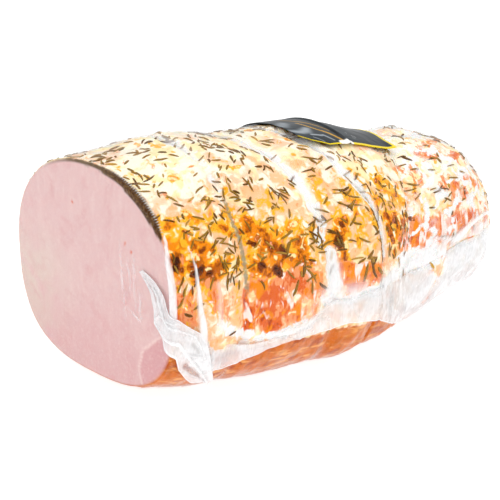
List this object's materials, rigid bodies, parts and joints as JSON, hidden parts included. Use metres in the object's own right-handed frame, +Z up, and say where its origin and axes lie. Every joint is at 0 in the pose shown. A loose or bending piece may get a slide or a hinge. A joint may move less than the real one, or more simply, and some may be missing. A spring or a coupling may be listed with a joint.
{
  "type": "baked ham",
  "caption": "Boneless baked ham log, tied and roasted under chopped rosemary, cut once to show its pink face and sealed in a clear shrink bag with a plain label.",
  "frame": {"origin": "on the flat of the underside, half way along the log, where the bag meets the surface that it lies on", "axes": "+X along the log from its cut face to its rounded tail, -Y towards the side with the broad front seal, +Z up"},
  "size_m": [0.3071, 0.1465, 0.1402],
  "materials": {
    "ham": "moist cured meat: pink where it is cut, golden to brown and fatty where it was roasted",
    "bag_film": "clear glossy shrink film, wrinkled",
    "rosemary": "dry roasted rosemary needles, matt olive to brown",
    "label": "dark coated label film with a thin gold border"
  },
  "bodies": {
    "root": {"back_seal": "bag_film", "corner_tab": "bag_film", "film_lower": "bag_film", "film_upper": "bag_film", "front_seal": "bag_film", "ham": "ham", "label": "label", "rosemary_needle_01": "rosemary", "rosemary_needle_02": "rosemary", "rosemary_needle_03": "rosemary", "rosemary_needle_04": "rosemary", "rosemary_needle_05": "rosemary", "rosemary_needle_06": "rosemary", "rosemary_needle_07": "rosemary", "rosemary_needle_08": "rosemary", "rosemary_needle_09": "rosemary", "rosemary_needle_10": "rosemary", "rosemary_needle_11": "rosemary", "rosemary_needle_12": "rosemary", "rosemary_needle_13": "rosemary", "rosemary_needle_14": "rosemary", "rosemary_needle_15": "rosemary", "rosemary_needle_16": "rosemary", "rosemary_needle_17": "rosemary", "rosemary_needle_18": "rosemary", "rosemary_needle_19": "rosemary", "rosemary_needle_20": "rosemary", "rosemary_needle_21": "rosemary", "rosemary_needle_22": "rosemary", "rosemary_needle_23": "rosemary", "rosemary_needle_24": "rosemary", "rosemary_needle_25": "rosemary", "rosemary_needle_26": "rosemary", "rosemary_needle_27": "rosemary", "rosemary_needle_28": "rosemary", "rosemary_needle_29": "rosemary", "rosemary_needle_30": "rosemary", "rosemary_needle_31": "rosemary", "rosemary_needle_32": "rosemary", "rosemary_needle_33": "rosemary", "rosemary_needle_34": "rosemary", "rosemary_needle_35": "rosemary", "rosemary_needle_36": "rosemary", "rosemary_needle_37": "rosemary", "rosemary_needle_38": "rosemary", "rosemary_needle_39": "rosemary", "rosemary_needle_40": "rosemary"}
  },
  "joints": []
}
